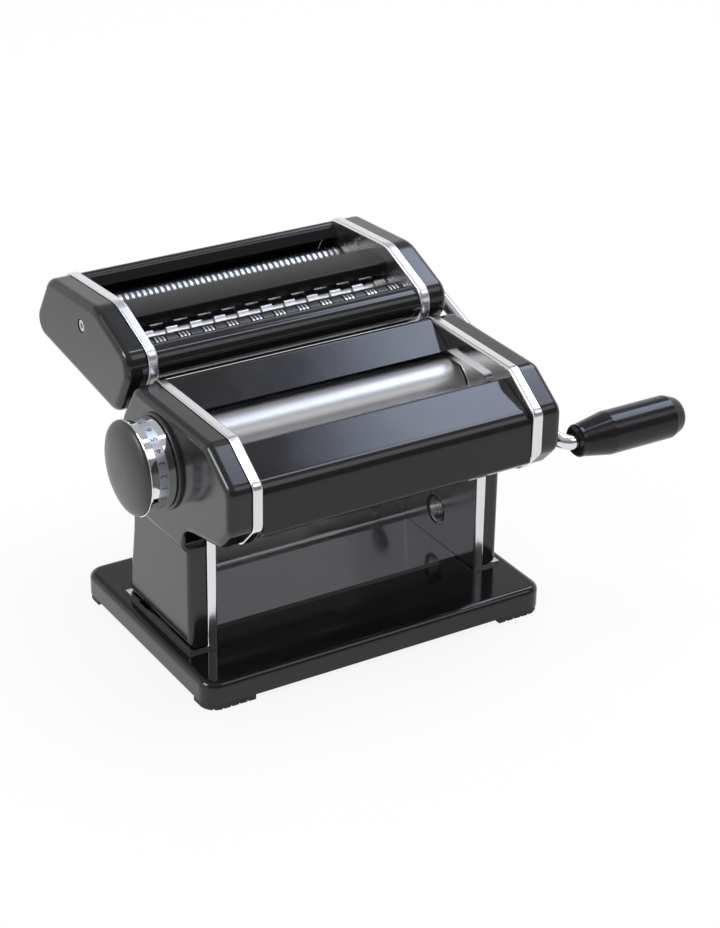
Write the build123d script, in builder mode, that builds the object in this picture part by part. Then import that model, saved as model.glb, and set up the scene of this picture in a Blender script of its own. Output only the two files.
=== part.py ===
"""Hand-cranked pasta roller machine: sheet rollers, thickness knob, lift-off cutter head and crank.

Frame: origin at the centre of the base footprint, on the surface that the feet stand on.
+X runs along the rollers towards the crank, +Y towards the cutter head, +Z up. Units are millimetres.
"""

import os
from math import cos, radians, sin

from build123d import *

# ---------------------------------------------------------------- driving dimensions
# Base
foot_height = 3.0
base_side_margin = 21.5
base_depth = 135.0
tray_height = 12.0
tray_sheet = 1.5
tray_corner_r = 9.0
tray_edge_r = 3.5
foot_length = 27.0
foot_width = 15.0

# Rollers and their end plates
roller_length = 150.0
roller_end_gap = 0.5
roller_r = 15.75
roller_z = 111.0
gap_widest = 4.8
gap_thinnest = 0.6
shaft_r = 5.5
running_fit = 0.05
seat_fit = 0.02
plate_sheet = 1.5
rim_sheet = 1.6
rim_width = 5.5
rim_bend_r = 1.4
rim_edge_r = 0.7
panel_sheet = 1.2

# Side covers
cover_gap = 0.5
cover_inset = 0.8
cover_wall = 1.6
cover_depth = 11.5
leg_cover_depth = 8.8
cover_edge_r = 4.0
cover_corner_r = 2.5
crease_z = 70.5
foot_flange_width = 15.5

# Thickness knob
knob_y = -12.0
eccentric_r = 6.0
eccentric_start_deg = 18.0
setting_pitch_deg = 16.0
settings = 10
yoke_clearance = 0.4
knob_r = 22.5
bezel_r = 24.0
knob_pull = 4.0
hex_flats = 9.0

# Cutter head
wide_y = 60.0
narrow_y = 104.0
cutter_z = 139.0
cutter_pitch = 17.0
cutter_r = 9.0
cutter_core_r = 7.6
wide_strip = 6.8
narrow_plain_r = 8.35
cutter_side_gap = 0.25
head_cover_depth = 11.2
nose_r = 8.5
nose_y = 29.6
nose_z = 142.4
tongue_y = 33.0
tongue_width = 6.5
rail_fit = 0.3
rail_top_z = 112.0
rail_height = 22.0

# Crank
crank_rod_r = 4.0
crank_bend_r = 11.0
crank_side_gap = 0.3
grip_y = -67.0
grip_z = 94.4
grip_side_gap = 9.0
grip_length = 65.5
grip_r = 11.4
grip_spindle_r = 3.0
lug_width = 2.2
lug_reach = 6.0

# Sizes that follow from the ones above
socket_r = shaft_r + 1.0
bush_r = shaft_r + 2.5
collar_hub_r = shaft_r + 3.5
tray_top = foot_height + tray_height
inner_x = roller_length / 2 + roller_end_gap
plate_x = inner_x + plate_sheet
base_width = 2 * (plate_x + base_side_margin)
rim_x = inner_x + rim_width
cover_x = rim_x + cover_gap
cover_face_x = cover_x + cover_depth
head_face_x = cover_x + head_cover_depth
crank_plane_x = head_face_x + crank_bend_r + crank_side_gap
grip_start_x = crank_plane_x + grip_side_gap
gap_travel = gap_widest - gap_thinnest
rear_roller_y = knob_y + gap_travel / 2
front_roller_y = rear_roller_y - 2 * roller_r - gap_widest
wide_front_y = wide_y - cutter_pitch
narrow_front_y = narrow_y - cutter_pitch
eccentric_offset = gap_travel / 2 / cos(radians(eccentric_start_deg))
knob_turn_deg = (settings - 1) * setting_pitch_deg

left, right = -1, 1
side_names = {left: "left", right: "right"}

# ---------------------------------------------------------------- outlines in the YZ plane
# Corner lists are (y, z, corner radius), going round from the foot of the leg's front edge.
leg_front_y = -36.5
leg_back_y = 33.5
body_corners = [
    (leg_front_y, tray_top, 2),
    (leg_front_y, 82.5, 7),
    (-70.5, 89.0, 10),
    (-82.5, 102.0, 7),
    (-82.5, 124.6, 6),
    (-59.4, 140.2, 6),
    (15.3, 140.2, 6),
    (30.6, 117.5, 9),
    (26.0, 62.0, 60),
    (leg_back_y, tray_top, 2),
]
head_corners = [
    (20.6, 138.5, 8),
    (20.6, 150.8, 8.5),
    (56.0, 165.0, 20),
    (112.0, 161.5, 8),
    (133.8, 126.2, 8),
    (35.0, 114.0, 8),
]


def rounded_outline(corners, inset=0.0):
    """A closed outline with rounded corners, moved inwards by inset."""
    with BuildSketch() as outline:
        with BuildLine():
            FilletPolyline(
                [(y, z) for y, z, _ in corners], radius=[r for _, _, r in corners], close=True
            )
        make_face()
        if inset:
            offset(amount=-inset, mode=Mode.REPLACE)
    return outline.sketch


body_outline = rounded_outline(body_corners)
head_outline = rounded_outline(head_corners)


def bent_strip(points, radii, thickness, half_length=inner_x):
    """A bent sheet that runs along X, whose side view follows points."""
    with BuildPart() as strip:
        with BuildSketch(Plane.YZ):
            with BuildLine() as side_view:
                FilletPolyline(points, radius=radii)
                offset(amount=thickness, side=Side.LEFT)
            make_face()
        extrude(amount=half_length, both=True)
    return strip.part


def rod_between(y, z, radius, x_start, x_end):
    """A round bar along X at (y, z)."""
    with BuildPart() as rod:
        with BuildSketch(Plane.YZ.offset(x_start)):
            with Locations((y, z)):
                Circle(radius)
        extrude(amount=x_end - x_start)
    return rod.part


def save(part, name):
    """Label a finished piece and write it as one STEP file."""
    part.label = name
    export_step(part, f"parts/{name}.step")


os.makedirs("parts", exist_ok=True)

# ---------------------------------------------------------------- base
screw_r = 2.4
screw_places = [(side * (plate_x + 6.0), y) for side in (left, right) for y in (-25.0, 25.0)]

with BuildPart() as base_tray:
    with BuildSketch(Plane.XY.offset(foot_height)):
        RectangleRounded(base_width, base_depth, tray_corner_r)
    extrude(amount=tray_height)
    fillet(base_tray.edges().group_by(Axis.Z)[-1], tray_edge_r)
    offset(amount=-tray_sheet, openings=base_tray.faces().sort_by(Axis.Z)[0])
    with Locations(*[(x, y, tray_top) for x, y in screw_places]):
        Hole(screw_r + 0.1, depth=2 * tray_sheet)
save(base_tray.part, "base_tray")

foot_x = base_width / 2 - foot_length / 2
foot_y = base_depth / 2 - foot_width / 2
foot_rib_pitch = 4.5
with BuildPart() as rubber_feet:
    with BuildSketch() as foot_lips:
        RectangleRounded(base_width - 1.0, base_depth - 1.0, tray_corner_r - 0.5)
        with GridLocations(2 * foot_x, 2 * foot_y, 2, 2):
            Rectangle(foot_length, foot_width, mode=Mode.INTERSECT)
    extrude(amount=foot_height)
    with BuildSketch(Plane.XY.offset(foot_height)) as foot_pads:
        inner_inset = 2 * (tray_sheet + 0.3)
        RectangleRounded(base_width - inner_inset, base_depth - inner_inset, tray_corner_r - 2)
        with GridLocations(2 * foot_x, 2 * foot_y, 2, 2):
            Rectangle(foot_length, foot_width, mode=Mode.INTERSECT)
    extrude(amount=tray_height - tray_edge_r)
    for corner_x in (-foot_x, foot_x):
        with Locations((corner_x, 0, 0)):
            with GridLocations(foot_rib_pitch, 1, 5, 1):
                Box(0.9, base_depth, 1.2, mode=Mode.SUBTRACT)
save(rubber_feet.part, "rubber_feet")

with BuildPart() as base_screws:
    for x, y in screw_places:
        with BuildSketch(Plane.XY.offset(tray_top - tray_sheet)):
            with Locations((x, y)):
                Circle(4.5)
        extrude(amount=-2.5)
        with BuildSketch(Plane.XY.offset(tray_top - tray_sheet)):
            with Locations((x, y)):
                Circle(screw_r)
        extrude(amount=tray_sheet + rim_sheet + 4.5)
save(base_screws.part, "base_screws")

with BuildPart() as base_nuts:
    for x, y in screw_places:
        with BuildSketch(Plane.XY.offset(tray_top + rim_sheet)):
            with Locations((x, y)):
                RegularPolygon(4.6, 6)
                Circle(screw_r + seat_fit, mode=Mode.SUBTRACT)
        extrude(amount=4.0)
save(base_nuts.part, "base_nuts")

# ---------------------------------------------------------------- main side plates
link_y = 10.0
link_z = 104.0
link_r = 2.5
clamp_y = 1.0
clamp_z = 34.0
clamp_mouth_r = 9.0
notch_start_y = 10.0
notch_end_y = 20.0


def side_plate(side):
    """A polished end plate: flat web, rim turned outwards and a foot flange for the base screws."""
    with BuildPart() as plate:
        with BuildSketch(Plane.YZ.offset(side * inner_x)):
            add(body_outline)
        extrude(amount=side * rim_width)
        with BuildSketch(Plane.YZ.offset(side * plate_x)):
            add(rounded_outline(body_corners, rim_sheet))
        extrude(amount=side * rim_width, mode=Mode.SUBTRACT)
        faces_inwards = plate.faces().sort_by(Axis.X if side == right else -Axis.X)
        fillet(faces_inwards[0].edges(), rim_bend_r)
        fillet(faces_inwards[-1].outer_wire().edges(), rim_edge_r)
        foot_mid_y = (leg_front_y + leg_back_y) / 2
        with BuildSketch(Plane.XY.offset(tray_top)):
            with Locations((side * (plate_x + foot_flange_width / 2 - 1), foot_mid_y)):
                Rectangle(foot_flange_width, leg_back_y - leg_front_y - 0.4)
            with Locations((side * (rim_x + 5), (notch_start_y + notch_end_y) / 2)):
                Rectangle(10, notch_end_y - notch_start_y, mode=Mode.SUBTRACT)
        extrude(amount=rim_sheet)
        with BuildSketch(Plane.YZ.offset(side * (inner_x - 1))):
            with Locations((front_roller_y, roller_z)):
                Circle(bush_r + seat_fit)
            with Locations((knob_y, roller_z)):
                SlotCenterToCenter(gap_travel, 2 * (bush_r + 0.3))
            with Locations((link_y - gap_travel / 2, link_z)):
                SlotCenterToCenter(gap_travel, 2 * (link_r + 0.3))
            if side == right:
                with Locations((clamp_y, clamp_z)):
                    Circle(clamp_mouth_r)
        extrude(amount=side * (plate_sheet + 2), mode=Mode.SUBTRACT)
        with Locations(*[(x, y, tray_top + rim_sheet) for x, y in screw_places if x * side > 0]):
            Hole(screw_r + seat_fit, depth=2 * rim_sheet)
    return plate.part


for side in (left, right):
    save(side_plate(side), f"side_plate_{side_names[side]}")

# ---------------------------------------------------------------- main side covers
cover_bottom_z = tray_top + rim_sheet + cover_gap


def softened(corners):
    """The plate's corners with the moulded covers' larger radii."""
    return [(y, z, r + cover_corner_r) for y, z, r in corners]


# The cover has the plate's outline, but its foot is a square-cornered edge above the foot flange.
cover_corners = (
    [(leg_front_y, cover_bottom_z - cover_inset, 0)]
    + softened(body_corners[1:-1])
    + [(leg_back_y, cover_bottom_z - cover_inset, 0)]
)
arch_y = leg_front_y - 6.0
arch_z = 77.5
arch_r = 8.5


def cover_region(inset, z_low, z_high):
    """The cover's outline moved inwards and kept between two heights."""
    with BuildSketch() as region:
        add(rounded_outline(cover_corners, inset))
        with Locations((0, (z_low + z_high) / 2)):
            Rectangle(400, z_high - z_low, mode=Mode.INTERSECT)
    return region.sketch


def cover_block(side, region, depth, edge_r):
    """One solid layer of a cover, its outer edge rounded."""
    with BuildPart() as block:
        with BuildSketch(Plane.YZ.offset(side * cover_x)):
            add(region)
        extrude(amount=side * depth)
        outer_face = block.faces().sort_by(Axis.X)[-1 if side == right else 0]
        fillet(outer_face.edges(), edge_r)
    return block.part


def side_cover(side):
    """A moulded shell: the upper part stands prouder than the leg and meets it at a crease."""
    top_z = 200.0
    leg_top_z = crease_z + 4
    hollow_inset = cover_inset + cover_wall
    head = cover_region(cover_inset, crease_z, top_z)
    leg = cover_region(cover_inset, cover_bottom_z, leg_top_z)
    head_hollow = cover_region(hollow_inset, crease_z + cover_wall, top_z)
    leg_hollow = cover_region(hollow_inset, cover_bottom_z + cover_wall, leg_top_z)
    with BuildPart() as cover:
        add(cover_block(side, head, cover_depth, cover_edge_r))
        add(cover_block(side, leg, leg_cover_depth, cover_edge_r - 0.5))
        with BuildSketch(Plane.YZ.offset(side * cover_x)):
            add(head_hollow)
        extrude(amount=side * (cover_depth - cover_wall), mode=Mode.SUBTRACT)
        with BuildSketch(Plane.YZ.offset(side * cover_x)):
            add(leg_hollow)
        extrude(amount=side * (leg_cover_depth - cover_wall), mode=Mode.SUBTRACT)
        with BuildSketch(Plane.YZ.offset(side * cover_x)):
            with Locations((arch_y, arch_z)):
                Circle(arch_r)
        extrude(amount=side * cover_depth, mode=Mode.SUBTRACT)
        foot_opening = leg_back_y - leg_front_y - 2 * hollow_inset - 1.5
        with BuildSketch(Plane.YZ.offset(side * cover_x)):
            with Locations(((leg_front_y + leg_back_y) / 2, cover_bottom_z)):
                Rectangle(foot_opening, 4 * cover_wall)
        extrude(amount=side * (leg_cover_depth - cover_wall), mode=Mode.SUBTRACT)
        with BuildSketch(Plane.YZ.offset(side * (cover_face_x + 1))):
            if side == left:
                with Locations((knob_y, roller_z)):
                    Circle(collar_hub_r + seat_fit)
            else:
                with Locations((front_roller_y, roller_z)):
                    Circle(socket_r + 2.5)
        extrude(amount=-side * (cover_wall + 2), mode=Mode.SUBTRACT)
    return cover.part


for side in (left, right):
    save(side_cover(side), f"side_cover_{side_names[side]}")

# ---------------------------------------------------------------- sheets between the side plates
front_cover = bent_strip(
    [(-52.0, 130.6), (-55.0, 133.2), (-80.4, 122.2), (-81.3, 98.0), (-77.0, 94.6)],
    [1.6, 9.5, 2.5],
    panel_sheet,
    inner_x - 0.3,
)
save(front_cover, "front_cover")

hopper_plate = bent_strip(
    [(-6.5, 128.6), (13.8, 139.7), (14.4, 134.0)], [2.0], panel_sheet, inner_x - 0.2
)
save(hopper_plate, "hopper_plate")

# One sheet closes the back and turns forwards at its foot to floor the space between the plates.
floor_z = tray_top + panel_sheet
floor_front_y = -20.0
rear_panel = bent_strip(
    [(17.2, 133.1), (28.4, 116.6), (24.0, 62.0), (31.3, floor_z), (floor_front_y, floor_z)],
    [10.0, 60.0, 2.5],
    panel_sheet,
    inner_x - 0.2,
)
save(rear_panel, "rear_panel")

tie_rod_places = [(-70.0, 106.0), (17.0, 112.0)]
tie_rod_r = 3.5
with BuildPart() as tie_rods:
    for y, z in tie_rod_places:
        with BuildSketch(Plane.YZ.offset(-inner_x)):
            with Locations((y, z)):
                Circle(tie_rod_r)
        extrude(amount=2 * inner_x)
save(tie_rods.part, "tie_rods")

guide_start_y = -42.0
guide_end_y = -7.0
guide_z = roller_z + roller_r + 0.6
with BuildPart() as dough_guides:
    for side in (left, right):
        with BuildSketch(Plane.YZ.offset(side * inner_x)):
            with Locations(((guide_start_y + guide_end_y) / 2, guide_z + 1.5)):
                SlotOverall(guide_end_y - guide_start_y, 3.0)
        extrude(amount=-side * 2.6)
save(dough_guides.part, "dough_guides")

# Scraper blades lie along the underside of each roller, root outwards.
scraper_gap = 0.35
scraper_angle = 60.0
with BuildPart() as roller_scrapers:
    for axis_y, way in ((front_roller_y, -1), (rear_roller_y, 1)):
        reach = roller_r + scraper_gap
        tip_y = axis_y + way * reach * cos(radians(scraper_angle))
        tip_z = roller_z - reach * sin(radians(scraper_angle))
        with BuildSketch(Plane.YZ):
            with BuildLine():
                Polyline(
                    (tip_y, tip_z),
                    (tip_y + way * 9.5, tip_z - 5.0),
                    (tip_y + way * 9.5, tip_z - 10.5),
                    (tip_y + way * 6.5, tip_z - 10.5),
                    (tip_y + way * 6.5, tip_z - 5.6),
                    (tip_y, tip_z - 1.6),
                    close=True,
                )
            make_face()
        extrude(amount=inner_x, both=True)
save(roller_scrapers.part, "roller_scrapers")

with BuildPart() as roller_bushes:
    for side in (left, right):
        with BuildSketch(Plane.YZ.offset(side * inner_x)):
            with Locations((front_roller_y, roller_z)):
                Circle(bush_r)
        extrude(amount=side * 4.0)
        with BuildSketch(Plane.YZ.offset(side * plate_x)):
            with Locations((front_roller_y, roller_z)):
                Circle(bush_r + 2)
        extrude(amount=side * 1.2)
        with BuildSketch(Plane.YZ.offset(side * (inner_x - 1))):
            with Locations((front_roller_y, roller_z)):
                Circle(shaft_r + running_fit)
        extrude(amount=side * 6.0, mode=Mode.SUBTRACT)
save(roller_bushes.part, "roller_bushes")

clamp_bore_r = 7.0
clamp_depth = 11.5
with BuildPart() as clamp_socket:
    with BuildSketch(Plane.YZ.offset(inner_x)):
        with Locations((clamp_y, clamp_z)):
            Circle(clamp_mouth_r - seat_fit)
    extrude(amount=clamp_depth)
    with BuildSketch(Plane.YZ.offset(plate_x)):
        with Locations((clamp_y, clamp_z)):
            Circle(clamp_mouth_r + 3)
    extrude(amount=1.5)
    with BuildSketch(Plane.YZ.offset(inner_x)):
        with Locations((clamp_y, clamp_z)):
            Circle(clamp_bore_r)
    extrude(amount=clamp_depth - 1.5, mode=Mode.SUBTRACT)
    with BuildSketch(Plane.YZ.offset(inner_x)):
        with Locations((clamp_y, clamp_z)):
            Circle(clamp_bore_r + 1.2)
    extrude(amount=2.0, mode=Mode.SUBTRACT)
save(clamp_socket.part, "clamp_socket")

# Rails on the back edge of the side plates take the cutter head's tongues from above.
rail_wall = 1.5
tongue_x = inner_x + plate_sheet / 2
with BuildPart() as accessory_rails:
    for side in (left, right):
        rail_width = plate_sheet + 2 * (rail_fit + rail_wall)
        with BuildSketch(Plane.YZ.offset(side * (tongue_x - rail_width / 2))):
            with Locations((34.0, rail_top_z - rail_height / 2)):
                Rectangle(2 * (tongue_y + tongue_width + rail_fit + rail_wall - 34.0), rail_height)
            add(body_outline, mode=Mode.SUBTRACT)
        extrude(amount=side * rail_width)
        with BuildSketch(Plane.XY.offset(rail_top_z)):
            with Locations((side * tongue_x, tongue_y + tongue_width / 2)):
                Rectangle(plate_sheet + 2 * rail_fit, tongue_width + 2 * rail_fit)
        extrude(amount=-(rail_height - 2.0), mode=Mode.SUBTRACT)
save(accessory_rails.part, "accessory_rails")

# ---------------------------------------------------------------- sheet rollers and gears
roller_gear_teeth = 14
roller_gear_tip_r = (rear_roller_y - front_roller_y) / 2 + 0.4
roller_gear_root_r = (rear_roller_y - front_roller_y) / 2 - 4.95
roller_gear_width = 6.0
cutter_gear_teeth = 12
cutter_gear_tip_r = cutter_pitch / 2 + 1.25
cutter_gear_root_r = cutter_pitch / 2 - 1.6
cutter_gear_x = plate_x + 2.6
cutter_gear_width = 6.0
socket_depth = 12.0
socket_end_x = cover_face_x - 2.0
carriage_sheet = 3.0
carriage_x = plate_x + 0.3
roller_gear_x = carriage_x + carriage_sheet + 0.7
roller_shaft_start_x = -(plate_x + 3.0)


def spur_gear(y, z, x, width, teeth, root_r, tip_r, root_w, tip_w, bore_r, phase_deg):
    """A straight gear; its first tooth points phase_deg up from +Y."""
    with BuildPart() as gear:
        with BuildSketch(Plane.YZ.offset(x)):
            with Locations((y, z)):
                Circle(root_r)
                with PolarLocations(0, teeth, start_angle=phase_deg):
                    Polygon(
                        (root_r - 0.6, -root_w / 2),
                        (tip_r, -tip_w / 2),
                        (tip_r, tip_w / 2),
                        (root_r - 0.6, root_w / 2),
                        align=None,
                    )
                Circle(bore_r, mode=Mode.SUBTRACT)
        extrude(amount=width)
    return gear.part


def shaft_with_socket(y, z, x_start, radius):
    """A shaft along X whose right end is a sleeve with a round, cross-slotted crank socket."""
    with BuildPart() as shaft:
        with BuildSketch(Plane.YZ.offset(x_start)):
            with Locations((y, z)):
                Circle(radius)
        extrude(amount=socket_end_x - x_start)
        with BuildSketch(Plane.YZ.offset(socket_end_x - 3.4)):
            with Locations((y, z)):
                Circle(socket_r)
        extrude(amount=3.4)
        with BuildSketch(Plane.YZ.offset(socket_end_x)):
            with Locations((y, z)):
                Circle(crank_rod_r + running_fit)
        extrude(amount=-socket_depth, mode=Mode.SUBTRACT)
        with BuildSketch(Plane.YZ.offset(socket_end_x)):
            with Locations((y, z)):
                Rectangle(lug_width + 0.6, 4 * socket_r)
        extrude(amount=-2.4, mode=Mode.SUBTRACT)
    return shaft.part


def roller_sleeve(y):
    """The smooth aluminium sleeve of a sheet roller."""
    with BuildPart() as sleeve:
        with BuildSketch(Plane.YZ.offset(-roller_length / 2)):
            with Locations((y, roller_z)):
                Circle(roller_r)
                Circle(shaft_r + seat_fit, mode=Mode.SUBTRACT)
        extrude(amount=roller_length)
        chamfer(sleeve.edges().filter_by(GeomType.CIRCLE).filter_by(lambda e: e.radius > 10), 0.6)
    return sleeve.part


save(roller_sleeve(front_roller_y), "front_roller")
save(
    shaft_with_socket(front_roller_y, roller_z, roller_shaft_start_x, shaft_r), "front_roller_shaft"
)
save(roller_sleeve(rear_roller_y), "rear_roller")
roller_shaft_end_x = roller_gear_x + roller_gear_width + 1.0
rear_shaft = rod_between(
    rear_roller_y, roller_z, shaft_r, roller_shaft_start_x, roller_shaft_end_x
)
save(rear_shaft, "rear_roller_shaft")

half_tooth = 180.0 / roller_gear_teeth
for y, phase, name in (
    (front_roller_y, 0.0, "front_roller_gear"),
    (rear_roller_y, half_tooth, "rear_roller_gear"),
):
    gear = spur_gear(
        y, roller_z, roller_gear_x, roller_gear_width, roller_gear_teeth,
        roller_gear_root_r, roller_gear_tip_r, 3.0, 1.3, shaft_r + seat_fit, phase,
    )
    save(gear, name)

# ---------------------------------------------------------------- sliding carriage of the rear roller


def carriage_plate(side):
    """A bearing plate that slides along Y; the left one carries the yoke for the eccentric."""
    with BuildPart() as carriage:
        with BuildSketch(Plane.YZ.offset(side * carriage_x)):
            with Locations((rear_roller_y, roller_z)):
                Circle(12.5)
            with Locations((link_y, link_z)):
                Circle(4.5)
            make_hull()
        extrude(amount=side * carriage_sheet)
        with BuildSketch(Plane.YZ.offset(side * (inner_x + 0.1))):
            with Locations((rear_roller_y, roller_z)):
                Circle(bush_r)
        extrude(amount=side * (carriage_x - inner_x))
        if side == left:
            yoke_x = -(carriage_x + carriage_sheet)
            yoke_wall = 3.5
            yoke_depth = 4.0
            slot_y = 2 * (eccentric_r + yoke_clearance)
            slot_z = 2 * (eccentric_r + eccentric_offset + yoke_clearance)
            with BuildSketch(Plane.YZ.offset(yoke_x)):
                with Locations((rear_roller_y, roller_z)):
                    RectangleRounded(slot_y + 2 * yoke_wall, slot_z + 2 * yoke_wall, 3)
                    Rectangle(slot_y, slot_z, mode=Mode.SUBTRACT)
            extrude(amount=-yoke_depth)
        with BuildSketch(Plane.YZ.offset(side * (inner_x - 1))):
            with Locations((rear_roller_y, roller_z)):
                Circle(shaft_r + running_fit)
            with Locations((link_y, link_z)):
                Circle(link_r + seat_fit)
        extrude(amount=side * 8.0, mode=Mode.SUBTRACT)
    return carriage.part


for side in (left, right):
    save(carriage_plate(side), f"carriage_{side_names[side]}")

link_end_x = carriage_x + carriage_sheet
save(rod_between(link_y, link_z, link_r, -link_end_x, link_end_x), "carriage_link")

# ---------------------------------------------------------------- thickness adjuster and knob
eccentric_x = -(carriage_x + carriage_sheet + 0.6)
eccentric_width = 4.0
eccentric_y = knob_y + eccentric_offset * cos(radians(eccentric_start_deg))
eccentric_z = roller_z + eccentric_offset * sin(radians(eccentric_start_deg))
collar_sheet = 1.8
knob_gap = 0.8
knob_wall = 2.0
knob_depth = 15.0
bezel_depth = 2.0
band_width = 5.2
band_step = 0.5
spring_length = 8.0
spring_r = 8.0
spring_wire_r = 0.6

# The knob's stations along X, from the cover outwards
collar_face_x = -cover_face_x - collar_sheet
knob_back_x = collar_face_x - knob_gap
knob_rim_x = knob_back_x - knob_depth
band_x = knob_back_x - 3.6
web_x = knob_back_x - 2.4
web_sheet = 2.0
hex_start_x = collar_face_x - 0.4
washer_x = web_x - web_sheet - spring_length
washer_sheet = 1.2


def disc(x, radius, depth, y=knob_y, hole_r=0.0):
    """A round plate or ring that starts at x and goes away from the machine's left side."""
    with BuildPart() as plate:
        with BuildSketch(Plane.YZ.offset(x)):
            with Locations((y, roller_z)):
                Circle(radius)
                if hole_r:
                    Circle(hole_r, mode=Mode.SUBTRACT)
        extrude(amount=-depth)
    return plate.part


with BuildPart() as adjuster_shaft:
    with BuildSketch(Plane.YZ.offset(eccentric_x)):
        with Locations((eccentric_y, eccentric_z)):
            Circle(eccentric_r)
    extrude(amount=-eccentric_width)
    add(disc(eccentric_x - eccentric_width, shaft_r, eccentric_x - eccentric_width - hex_start_x))
    with BuildSketch(Plane.YZ.offset(hex_start_x)):
        with Locations((knob_y, roller_z)):
            RegularPolygon(hex_flats / 2, 6, major_radius=False)
    extrude(amount=washer_x - hex_start_x)
    add(disc(washer_x, spring_r + 1.2, washer_sheet))
save(adjuster_shaft.part, "adjuster_shaft")

with BuildPart() as knob_collar:
    add(disc(-cover_face_x, bezel_r, collar_sheet))
    fillet(knob_collar.edges().group_by(Axis.X)[0], 0.8)
    add(disc(-cover_face_x + 5.2, collar_hub_r, 5.2))
    add(disc(-cover_face_x + 6, shaft_r + running_fit, 12.0), mode=Mode.SUBTRACT)
save(knob_collar.part, "knob_collar")

with BuildPart() as drive_collar:
    with BuildSketch(Plane.YZ.offset(cover_face_x)):
        with Locations((front_roller_y, roller_z)):
            Circle(socket_r + 5)
    extrude(amount=1.6)
    fillet(drive_collar.edges().group_by(Axis.X)[-1], 0.8)
    with BuildSketch(Plane.YZ.offset(cover_face_x)):
        with Locations((front_roller_y, roller_z)):
            Circle(socket_r + 2.5 - seat_fit)
    extrude(amount=-cover_wall - 1.0)
    with BuildSketch(Plane.YZ.offset(cover_face_x + 2)):
        with Locations((front_roller_y, roller_z)):
            Circle(socket_r + 0.6)
    extrude(amount=-6.0, mode=Mode.SUBTRACT)
save(drive_collar.part, "drive_collar")

with BuildPart() as knob_barrel:
    add(disc(knob_back_x, knob_r, knob_depth, hole_r=knob_r - knob_wall))
    add(disc(web_x, knob_r - knob_wall, web_sheet))
    add(disc(web_x + 1.2, spring_r - spring_wire_r - 0.4, web_sheet + 2.0))
    with BuildSketch(Plane.YZ.offset(web_x + 2)):
        with Locations((knob_y, roller_z)):
            RegularPolygon(hex_flats / 2 + 0.3, 6, major_radius=False)
    extrude(amount=-10.0, mode=Mode.SUBTRACT)
    add(disc(band_x, knob_r + 1, band_width, hole_r=knob_r - band_step), mode=Mode.SUBTRACT)
save(knob_barrel.part, "knob_barrel")

save(disc(band_x - 0.05, knob_r + 0.1, band_width - 0.1, hole_r=knob_r - band_step + seat_fit),
     "number_ring")

cap_r = knob_r - 0.6
with BuildPart() as knob_bezel:
    add(disc(knob_rim_x, bezel_r, bezel_depth, hole_r=cap_r))
    rounded_edges = knob_bezel.edges().filter_by(GeomType.CIRCLE)
    fillet(rounded_edges.filter_by(lambda e: e.radius > knob_r), 0.9)
save(knob_bezel.part, "knob_bezel")

# The cap is a shallow dish inside a raised ring; its profile is turned about the knob's axis.
with BuildPart() as knob_cap:
    with BuildSketch(Plane.XY):
        with BuildLine():
            Polyline((0, 0), (0, 2.2))
            ThreePointArc((0, 2.2), (cap_r * 0.45, 2.5), (cap_r * 0.8, 3.7))
            ThreePointArc((cap_r * 0.8, 3.7), (cap_r * 0.93, 3.5), (cap_r - seat_fit, 1.9))
            Polyline((cap_r - seat_fit, 1.9), (cap_r - seat_fit, 0), (0, 0))
        make_face()
    revolve(axis=Axis.Y)
knob_front = Plane(origin=(knob_rim_x, knob_y, roller_z), x_dir=(0, 1, 0), z_dir=(0, 0, 1))
save(knob_front.location * knob_cap.part, "knob_cap")

with BuildPart() as knob_spring:
    with BuildLine():
        Helix(3.1, spring_length - 2 * spring_wire_r - 0.2, spring_r)
    with BuildSketch(Plane(origin=(spring_r, 0, 0), z_dir=(0, 1, 0))):
        Rectangle(2 * spring_wire_r, 2 * spring_wire_r)
    sweep(is_frenet=True)
spring_end = Plane(
    origin=(washer_x + spring_wire_r + 0.1, knob_y, roller_z), z_dir=(1, 0, 0)
)
save(spring_end.location * knob_spring.part, "knob_spring")

# ---------------------------------------------------------------- cutter head: plates, covers, sheets
cutter_bush_r = shaft_r + 2.0
cutter_axes_y = [wide_front_y, wide_y, narrow_front_y, narrow_y]
screw_post = (72.0, 149.0)
post_r = 4.0
cover_screw_r = 1.75
cover_boss_depth = 4.0
screw_seat_depth = 1.8
screw_head_depth = 1.4
screw_head_r = 3.0


def cutter_plate(side):
    """The head's end plate, with its rim, screw post and the tongue that drops into the rail."""
    with BuildPart() as plate:
        with BuildSketch(Plane.YZ.offset(side * inner_x)):
            add(head_outline)
        extrude(amount=side * rim_width)
        with BuildSketch(Plane.YZ.offset(side * plate_x)):
            add(rounded_outline(head_corners, rim_sheet))
        extrude(amount=side * rim_width, mode=Mode.SUBTRACT)
        faces_inwards = plate.faces().sort_by(Axis.X if side == right else -Axis.X)
        fillet(faces_inwards[0].edges(), rim_bend_r)
        fillet(faces_inwards[-1].outer_wire().edges(), rim_edge_r)
        tongue_end_z = rail_top_z - rail_height + 2.0 + rail_fit
        tongue_top_z = 122.0
        with BuildSketch(Plane.YZ.offset(side * inner_x)):
            with Locations((tongue_y + tongue_width / 2, (tongue_end_z + tongue_top_z) / 2)):
                Rectangle(tongue_width, tongue_top_z - tongue_end_z)
        extrude(amount=side * plate_sheet)
        with BuildSketch(Plane.YZ.offset(side * plate_x)):
            with Locations(screw_post):
                Circle(post_r)
        extrude(amount=side * (head_face_x - cover_boss_depth - plate_x))
        with BuildSketch(Plane.YZ.offset(side * head_face_x)):
            with Locations(screw_post):
                Circle(cover_screw_r + seat_fit)
        extrude(amount=-side * 12.0, mode=Mode.SUBTRACT)
        with BuildSketch(Plane.YZ.offset(side * (inner_x - 1))):
            with Locations(*[(y, cutter_z) for y in cutter_axes_y]):
                Circle(cutter_bush_r + seat_fit)
        extrude(amount=side * 4.0, mode=Mode.SUBTRACT)
    return plate.part


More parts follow.
